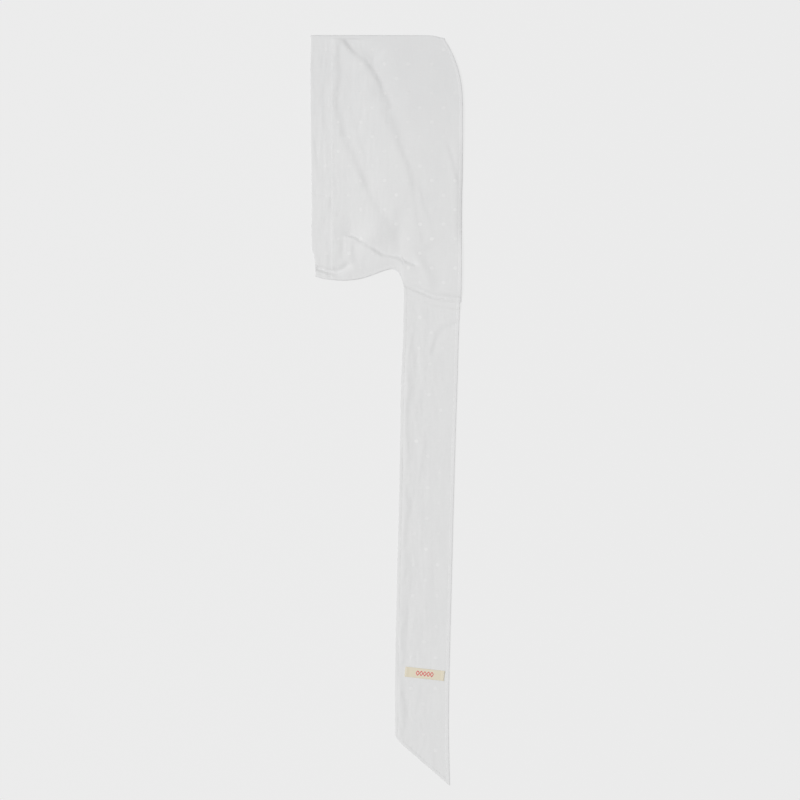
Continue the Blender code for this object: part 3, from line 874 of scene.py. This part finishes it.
DOT_RADIUS = 2.7
DOT_HEIGHT = 0.06
DOT_SINK = 0.02
DOT_FLATNESS = 0.92
DOT_UNEVENNESS = 0.09
CROWN_DOT_PITCH = (25.9, 16.0)
CROWN_DOT_START = (36.7, 396.6)
TIE_DOT_PITCH = (26.4, 17.0)
TIE_DOT_START = (4.7, 119.4)
DOT_RINGS = 3
DOT_SIDES = 12
TUFT_THIN = (0.77, 0.77, 0.77)
TUFT_FULL = (0.86, 0.86, 0.858)
TUFT_RIB_M = 0.0005


def tuft_finish(name):
    """Floats of soft thread: fine ribs across the tuft as a sine, in relief and faintly in tone. A
    noise about as slow as the lattice makes some tufts fuller and whiter than others, and painted
    shade darkens the tufts near the fold."""
    material, shader, flow = new_finish(name, roughness=0.85, sheen=0.2, specular=0.2)
    place = flow.node("TexCoord", output="Object")
    along = place.axes()[1]
    ribs = along.ribs(TUFT_RIB_M)
    fuzz = flow.noise(place, (2500.0, 2500.0, 2500.0))
    fullness = flow.noise(place, (70.0, 70.0, 70.0))
    # The tone is darkened round the fold by painted shade, a little more than the cotton's.
    share = ribs * 0.25 + fuzz * 0.25 + fullness * 1.8 - 0.65 - painted_fold_shade(along) * 1.1
    tone = flow.tint(share, TUFT_THIN, TUFT_FULL)
    surface(shader, tone, relief=ribs + fuzz, strength=0.6, depth_m=0.00008)
    return material


tuft = tuft_finish("dot_tuft")


def tufts(name, centres, height, wall):
    """Closed lenses on the cloth, one on each centre: rings of points whose height over the cloth's
    face falls as a square from the middle to the rim, and a flat back just inside the cloth. Each
    rim is a little uneven, by random shares that are whole at the rim and grow as the radius."""
    ring = np.repeat(np.arange(1, DOT_RINGS + 1) / DOT_RINGS, DOT_SIDES)
    angle = np.tile(2 * math.pi * np.arange(DOT_SIDES) / DOT_SIDES, DOT_RINGS)
    rim_shares = np.random.default_rng(len(centres)).uniform(-1.0, 1.0, (len(centres), DOT_SIDES))
    uneven = DOT_UNEVENNESS * np.tile(rim_shares, (1, DOT_RINGS))
    reach = DOT_RADIUS * ring * (1.0 + ring * uneven)
    centre = np.zeros((len(centres), 1))
    reach_x = np.concatenate([centre, reach * np.cos(angle)], axis=1)
    reach_y = np.concatenate([centre, reach * np.sin(angle) * DOT_FLATNESS], axis=1)
    rise = DOT_HEIGHT * (1.0 - np.concatenate([[0.0], ring]) ** 2)
    x, y = centres[:, :1] + reach_x, centres[:, 1:] + reach_y
    z = height(x, y) + wall / 2 + rise - DOT_SINK
    back = np.stack([centres[:, 0], centres[:, 1], height(centres[:, 0], centres[:, 1])], axis=-1)
    points = np.concatenate([np.stack([x, y, z], axis=-1), back[:, None]], axis=1)
    inner = 1 + np.arange(DOT_SIDES)
    after = 1 + (np.arange(DOT_SIDES) + 1) % DOT_SIDES
    quads = np.concatenate([
        np.stack([inner + k, inner + k + DOT_SIDES, after + k + DOT_SIDES, after + k], axis=-1)
        for k in DOT_SIDES * np.arange(DOT_RINGS - 1)
    ])
    rim, rim_after = inner + DOT_SIDES * (DOT_RINGS - 1), after + DOT_SIDES * (DOT_RINGS - 1)
    last = points.shape[1] - 1
    fan = np.stack([0 * inner, inner, after], axis=-1)
    fan_back = np.stack([rim_after, rim, 0 * rim + last], axis=-1)
    base = (np.arange(len(centres)) * points.shape[1])[:, None, None]
    faces = (base + quads).reshape(-1, 4).tolist()
    faces += (base + fan).reshape(-1, 3).tolist() + (base + fan_back).reshape(-1, 3).tolist()
    piece = mesh_piece(name, points.reshape(-1, 3), faces, tuft)
    piece.data.set_sharp_from_angle(angle=math.radians(40.0))
    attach(piece, "root")
    return piece


def lattice(rows, columns, pitch):
    """Staggered centres round the origin: every second row is shifted by half a pitch."""
    row, column = np.meshgrid(rows, columns, indexing="ij")
    return np.stack([(column + 0.5 * (row % 2)) * pitch[0], -row * pitch[1]], axis=-1).reshape(-1, 2)


crown_centres = lattice(np.arange(0, 18), np.arange(-6, 3), CROWN_DOT_PITCH) + CROWN_DOT_START
dot_x, dot_y = crown_centres[:, 0], crown_centres[:, 1]
edge_room = DOT_RADIUS + HEM_WIDTH
clear_of_foot = dot_y > foot_y(np.minimum(dot_x, FOOT_RIGHT_X)) + edge_room
clear_of_back = dot_x > SEAM_X - BAND_WIDTH + 4.0
on_upper = clear_of_foot & clear_of_back & (dot_x < front_x(dot_y) - edge_room)
on_lower = on_upper & (dot_x > SEAM_X + 3.0)
crown_dots = tufts("crown_dots", crown_centres[on_upper], upper_height, CLOTH)
lower_layer_dots = tufts("lower_layer_dots", crown_centres[on_lower], lower_height, CLOTH)

tie_centres = lattice(np.arange(0, 33), np.arange(-1, 4), TIE_DOT_PITCH) + TIE_DOT_START
tie_centres[:, 0] += tie_sides(tie_centres[:, 1])[0]
tie_room = tie_inside(tie_centres[:, 0], tie_centres[:, 1])
below = through(TIE_SEAM, tie_centres[:, 0]) - tie_centres[:, 1]
tie_centres = tie_centres[(tie_room > edge_room) & (below > ALLOWANCE_DEPTH + DOT_RADIUS)]
tie_dots = tufts("tie_dots", tie_centres, tie_height, CLOTH)


# Stitching
#
# White cotton thread in short running stitches: along the hems, down the band's seam and in two
# rows over the turned allowance of the tie's seam. Each stitch is a small capsule that dives into
# the cloth at its ends.

STITCH_PITCH = 2.9
STITCH_LENGTH = 2.3
STITCH_STATIONS = 5
STITCH_SIDES = 6
STITCH_ROUND = 0.95
STITCH_DIP = 0.16
STITCH_RISE = 0.05
END_SLANT = 1.33
ALLOWANCE_ROWS = (2.6, 8.0)
THREAD_RADIUS = 0.15
THREAD_DARK = (0.78, 0.78, 0.78)
THREAD_LIGHT = (0.86, 0.86, 0.855)
THREAD_TWIST_M = 0.0004


def thread_finish(name):
    """Twisted thread: a diagonal sine over the piece as ply, with fine noise in tone."""
    material, shader, flow = new_finish(name, roughness=0.7, sheen=0.1, specular=0.3)
    place = flow.node("TexCoord", output="Object")
    x, y = place.axes()
    ply = (x + y).ribs(THREAD_TWIST_M)
    fibre = flow.noise(place, (4000.0, 4000.0, 4000.0))
    tone = flow.tint(ply * 0.5 + fibre * 0.5, THREAD_DARK, THREAD_LIGHT)
    surface(shader, tone, relief=ply, strength=0.5, depth_m=0.00005)
    return material


sewing_thread = thread_finish("sewing_thread")


def on_cloth(height, x, y, wall):
    """Points on a layer's face and the normals there, from the slopes of its height."""
    step = 0.4
    slope_x = (height(x + step, y) - height(x - step, y)) / (2 * step)
    slope_y = (height(x, y + step) - height(x, y - step)) / (2 * step)
    normals = np.stack([-slope_x, -slope_y, np.ones_like(slope_x)], axis=-1)
    normals = normals / np.linalg.norm(normals, axis=-1, keepdims=True)
    return np.stack([x, y, height(x, y)], axis=-1) + normals * wall / 2, normals


def tube_faces(stations, sides, closed):
    """The quads of a tube whose points go round each of its stations in turn. A closed tube's last
    station joins its first."""
    first = np.arange(stations if closed else stations - 1)
    station, side = np.meshgrid(first, np.arange(sides), indexing="ij")
    here, ahead, after = station * sides, (station + 1) % stations * sides, (side + 1) % sides
    return np.stack([here + side, ahead + side, ahead + after, here + after], axis=-1).reshape(-1, 4)


def stitches(name, lines, length=STITCH_LENGTH, pitch=STITCH_PITCH):
    """Running stitches along lines of (height, x, y, wall): at each pitch along a line a capsule
    whose radius is the root of 1 minus the fourth power of nearly the way to its ends, which dip
    by a fourth power too."""
    share = np.linspace(-0.5, 0.5, STITCH_STATIONS)
    swell = THREAD_RADIUS * np.sqrt(1.0 - (STITCH_ROUND * (2 * share)) ** 4)
    dip = STITCH_RISE - STITCH_DIP * (2 * share) ** 4
    angle = 2 * math.pi * np.arange(STITCH_SIDES) / STITCH_SIDES
    blocks = []
    for height, x, y, wall in lines:
        path = np.stack([x, y], axis=-1)
        run = np.concatenate([[0.0], np.cumsum(np.hypot(*np.diff(path, axis=0).T))])
        middle = np.arange(pitch / 2, run[-1] - pitch / 2, pitch)
        points, normals = on_cloth(height, np.interp(middle, run, x), np.interp(middle, run, y), wall)
        ahead = np.stack([np.interp(middle + 0.5, run, x), np.interp(middle + 0.5, run, y)], axis=-1)
        tangent = np.concatenate([ahead - points[:, :2], np.zeros((len(middle), 1))], axis=1)
        tangent = tangent - normals * np.sum(tangent * normals, axis=1, keepdims=True)
        tangent = tangent / np.linalg.norm(tangent, axis=1, keepdims=True)
        beside = np.cross(normals, tangent)
        blocks.append(
            points[:, None, None]
            + tangent[:, None, None] * (share * length)[None, :, None, None]
            + beside[:, None, None] * (swell[:, None] * np.cos(angle))[None, ..., None]
            + normals[:, None, None] * (swell[:, None] * np.sin(angle) + dip[:, None])[None, ..., None]
        )
    points = np.concatenate(blocks)
    stitch_size = STITCH_STATIONS * STITCH_SIDES
    base = (np.arange(len(points)) * stitch_size)[:, None]
    quads = tube_faces(STITCH_STATIONS, STITCH_SIDES, closed=False)[:, ::-1]
    cap = np.arange(STITCH_SIDES)
    faces = (base[..., None] + quads).reshape(-1, 4).tolist()
    faces += (base + cap).tolist() + (base + stitch_size - 1 - cap).tolist()
    piece = mesh_piece(name, points.reshape(-1, 3), faces, sewing_thread)
    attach(piece, "root")
    return piece


front_line_y = np.linspace(bend_y(np.ones(1))[0] - 3.0, TIE_SEAM[-1].value + 2.0, 600)
side_line_x = np.linspace(SEAM_X + 1.5, CREST_X + 6.0, 300)
side_line_y = foot_y(side_line_x) + STITCH_INSIDE
band_foot_x = np.linspace(BACK_EDGE[0].value + 3.0, SEAM_X - 1.0, 80)
band_foot_y = foot_y(band_foot_x) + STITCH_INSIDE
band_line_y = np.linspace(TOP_Y - 6.0, through(SIDE_HEM, np.array([SEAM_X]))[0] + 5.0, 500)
band_line_x = np.full(band_line_y.shape, SEAM_X + 0.5)
crown_stitches = stitches("crown_stitches", [
    (upper_height, front_x(front_line_y) - STITCH_INSIDE, front_line_y, HEM),
    (upper_height, side_line_x, side_line_y, HEM),
    (lower_height, front_x(front_line_y) - STITCH_INSIDE, front_line_y, HEM),
    (lower_height, side_line_x, side_line_y, HEM),
])
band_stitches = stitches("band_stitches", [
    (upper_height, band_line_x, band_line_y, CLOTH + 2 * LAP_STEP),
    (upper_height, band_foot_x, band_foot_y, BAND_HEM - 0.1),
    (lower_height, band_foot_x, band_foot_y, BAND_HEM - 0.1),
])

tie_line_y = np.linspace(TIE_SEAM[-1].value - 4.0, TIE_TIP_Y + 9.0, 900)
left_line_y = np.linspace(TIE_SEAM[0].value - 8.0, TIE_END_LEFT_Y + 2.0, 900)
end_across = np.linspace(0.06, 0.93, 200)
end_y = tie_end_y(end_across) + STITCH_INSIDE * END_SLANT
end_left, end_right = tie_sides(end_y)
seam_line_x = np.linspace(NECK_X + 4.0, FOOT_RIGHT_X - 5.0, 200)
tie_stitches = stitches("tie_stitches", [
    (tie_height, tie_sides(tie_line_y)[1] - STITCH_INSIDE, tie_line_y, HEM),
    (tie_height, tie_sides(left_line_y)[0] + STITCH_INSIDE, left_line_y, HEM),
    (tie_height, end_left + end_across * (end_right - end_left), end_y, HEM),
    *((tie_height, seam_line_x, through(TIE_SEAM, seam_line_x) - row, CLOTH) for row in ALLOWANCE_ROWS),
])


# Label
#
# A small woven satin label, beige, with its two short ends turned under and stitched down near the
# end of the upper tie. A plain chain of red lozenges is embroidered in its middle.

LABEL_WALL = 0.35
LABEL_TURN = 2.6
LABEL_TURN_WALL = 0.14
LABEL_TURN_RISE = 0.16
LABEL_BOW = 0.18
LABEL_GAP = 0.10
LABEL_COLUMNS = 60
LABEL_ROWS = 18
SATIN_DARK = (0.712, 0.65, 0.508)
SATIN_LIGHT = (0.78, 0.718, 0.572)
SATIN_RIB_M = 0.0005
LOZENGE_COUNT = 5
LOZENGE_PITCH = 3.9
LOZENGE_HALF = (1.55, 2.3)
LOZENGE_POWER = 1.25
LOZENGE_THREAD = 0.42
LOZENGE_RELIEF = 0.16
LOZENGE_LIFT = 0.03
LOZENGE_STATIONS = 24
LOZENGE_SIDES = 8
EMBROIDERY_DARK = (0.66, 0.07, 0.09)
EMBROIDERY_LIGHT = (0.82, 0.13, 0.15)
EMBROIDERY_FLOAT_M = 0.0004


def label_place(along, up):
    """From the label's own length and height to the ground: turned by its tilt and moved."""
    x = LABEL_CENTRE[0] + along * math.cos(LABEL_TILT) - up * math.sin(LABEL_TILT)
    y = LABEL_CENTRE[1] + along * math.sin(LABEL_TILT) + up * math.cos(LABEL_TILT)
    return x, y


def end_turn(along):
    """1 where the label's ends are turned under, eased to 0 over a millimetre beyond the turn."""
    return 1.0 - ease(LABEL_WIDTH / 2 - np.abs(along) - LABEL_TURN)


def label_height(along, up):
    """Height of the label's middle over the ground: on the tie's face, raised where an end is turned
    under, and bowed up a little between its stitched ends."""
    x, y = label_place(along, up)
    bow = LABEL_BOW * (1.0 - (2 * along / LABEL_WIDTH) ** 2)
    raised = LABEL_GAP + LABEL_TURN_RISE * end_turn(along) + bow
    return tie_height(x, y) + CLOTH / 2 + LABEL_WALL / 2 + raised


def satin_finish(name):
    """Satin ribbon: fine ribs across it as a sine, a faint drift of tone, and a soft shine."""
    material, shader, flow = new_finish(name, roughness=0.5, sheen=0.15, specular=0.4)
    cloth = flow.node("UVMap", settings={"uv_map": "cloth"})
    ribs = cloth.axes()[1].ribs(SATIN_RIB_M)
    floats = flow.noise(cloth, (600.0, 4000.0, 1.0))
    tone = flow.tint(ribs * 0.3 + floats * 0.7, SATIN_DARK, SATIN_LIGHT)
    flow.tree.links.new((0.42 + floats * 0.2).socket, shader.inputs["Roughness"])
    surface(shader, tone, relief=ribs + floats, strength=0.5, depth_m=0.00005)
    return material


def embroidery_finish(name):
    """Red embroidery thread: slanting floats as a sine, with a sheen."""
    material, shader, flow = new_finish(name, roughness=0.45, sheen=0.2, specular=0.4)
    place = flow.node("TexCoord", output="Object")
    x, y = place.axes()
    floats = (x * 1.4 + y).ribs(EMBROIDERY_FLOAT_M)
    tone = flow.tint(floats, EMBROIDERY_DARK, EMBROIDERY_LIGHT)
    surface(shader, tone, relief=floats, strength=0.5, depth_m=0.00005)
    return material


label_along, label_up = np.meshgrid(
    spaced(LABEL_WIDTH, LABEL_COLUMNS, (0.0, LABEL_WIDTH), reach=1.5, extra=2.0) - LABEL_WIDTH / 2,
    LABEL_HEIGHT / 2 - spaced(LABEL_HEIGHT, LABEL_ROWS, (0.0, LABEL_HEIGHT), reach=0.6, extra=2.0),
)
label_x, label_y = label_place(label_along, label_up)
label_middle = np.stack([label_x, label_y, label_height(label_along, label_up)], axis=-1)
label_rim = np.minimum(LABEL_WIDTH / 2 - np.abs(label_along), LABEL_HEIGHT / 2 - np.abs(label_up))
label_wall = LABEL_WALL * thin_rim(label_rim, reach=0.4) + LABEL_TURN_WALL * end_turn(label_along)
label_uv = np.stack([label_along, label_up], axis=-1)
label_cloth = thick_sheet("label_cloth", label_middle, label_wall, label_uv, satin_finish("label_satin"))
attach(label_cloth, "root")
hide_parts("label")

around = 2 * math.pi * np.arange(LOZENGE_STATIONS)[:, None] / LOZENGE_STATIONS
tube = 2 * math.pi * np.arange(LOZENGE_SIDES) / LOZENGE_SIDES
lozenge_sum = np.abs(np.cos(around)) ** LOZENGE_POWER + np.abs(np.sin(around)) ** LOZENGE_POWER
lozenge_reach = lozenge_sum ** (-1.0 / LOZENGE_POWER)
lozenge_blocks = []
for number in range(LOZENGE_COUNT):
    centre = (number - (LOZENGE_COUNT - 1) / 2) * LOZENGE_PITCH
    out = 1.0 + LOZENGE_THREAD * np.cos(tube) / LOZENGE_HALF[0]
    along = centre + LOZENGE_HALF[0] * lozenge_reach * np.cos(around) * out
    up = LOZENGE_HALF[1] * lozenge_reach * np.sin(around) * out
    x, y = label_place(along, up)
    z = label_height(along, up) + LABEL_WALL / 2 + LOZENGE_RELIEF * np.sin(tube) + LOZENGE_LIFT
    lozenge_blocks.append(np.stack([x, y, z], axis=-1).reshape(-1, 3))
lozenge_base = LOZENGE_STATIONS * LOZENGE_SIDES * np.arange(LOZENGE_COUNT)[:, None, None]
lozenge_faces = lozenge_base + tube_faces(LOZENGE_STATIONS, LOZENGE_SIDES, closed=True)
label_motif = mesh_piece("label_motif", np.concatenate(lozenge_blocks), lozenge_faces.reshape(-1, 4),
                         embroidery_finish("label_embroidery"))
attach(label_motif, "root")


def label_top(x, y):
    """The label's height at places on the ground."""
    return label_height(*label_frame(x, y))


end_up = np.linspace(LABEL_HEIGHT / 2 - 0.6, 0.6 - LABEL_HEIGHT / 2, 40)
end_row = (LABEL_WIDTH - LABEL_TURN) / 2
label_stitches = stitches("label_stitches", [
    (label_top, *label_place(np.full(40, end), end_up), LABEL_WALL + LABEL_TURN_WALL)
    for end in (-end_row, end_row)
], length=1.7, pitch=2.2)


# Ground, light and camera
#
# A plain pale ground that hardly takes a shadow, an even sky with one large soft light high up and
# a little to the left, and a camera straight above the bandana.

GROUND_SIDE_M = 12.0
GROUND_Z_M = -0.0006
GROUND_COLOUR = (0.10, 0.10, 0.10, 1.0)
GROUND_GLOW = 0.74
WHITE = (1.0, 1.0, 1.0, 1.0)
SKY_STRENGTH = 0.37
KEY_WIDTH_M = 3.0
KEY_POWER_W = 631.0
KEY_PLACE_M = (-3.9, 0.6, 9.2)
VIEW_WIDTH_M = 0.880
VIEW_CENTRE_M = (0.0147, 0.01155)
CAMERA_HEIGHT_M = 3.2
SENSOR_MM = 36.0

ground_finish = bpy.data.materials.new("ground")
shader_with(ground_finish, "Principled BSDF", {
    "Base Color": GROUND_COLOUR, "Roughness": 1.0, "Specular IOR Level": 0.0,
    "Emission Color": WHITE, "Emission Strength": GROUND_GLOW,
})

bpy.ops.mesh.primitive_plane_add(size=GROUND_SIDE_M, location=(0.0, 0.0, GROUND_Z_M))
ground = bpy.context.object
ground.name = "ground"
ground.data.materials.append(ground_finish)

world = bpy.data.worlds.new("sky")
shader_with(world, "Background", {"Color": WHITE, "Strength": SKY_STRENGTH})
bpy.context.scene.world = world

key = bpy.data.objects.new("key_light", bpy.data.lights.new("key_light", "AREA"))
key.data.shape = "DISK"
key.data.size = KEY_WIDTH_M
key.data.energy = KEY_POWER_W
key.location = KEY_PLACE_M
key.rotation_euler = (-key.location).to_track_quat("-Z", "Y").to_euler()
bpy.context.scene.collection.objects.link(key)

camera = bpy.data.objects.new("camera", bpy.data.cameras.new("camera"))
camera.data.sensor_width = SENSOR_MM
camera.data.lens = SENSOR_MM * CAMERA_HEIGHT_M / VIEW_WIDTH_M
camera.location = (*VIEW_CENTRE_M, CAMERA_HEIGHT_M)
camera.data.clip_end = 50.0
bpy.context.scene.collection.objects.link(camera)
bpy.context.scene.camera = camera
bpy.context.scene.view_settings.view_transform = "Standard"
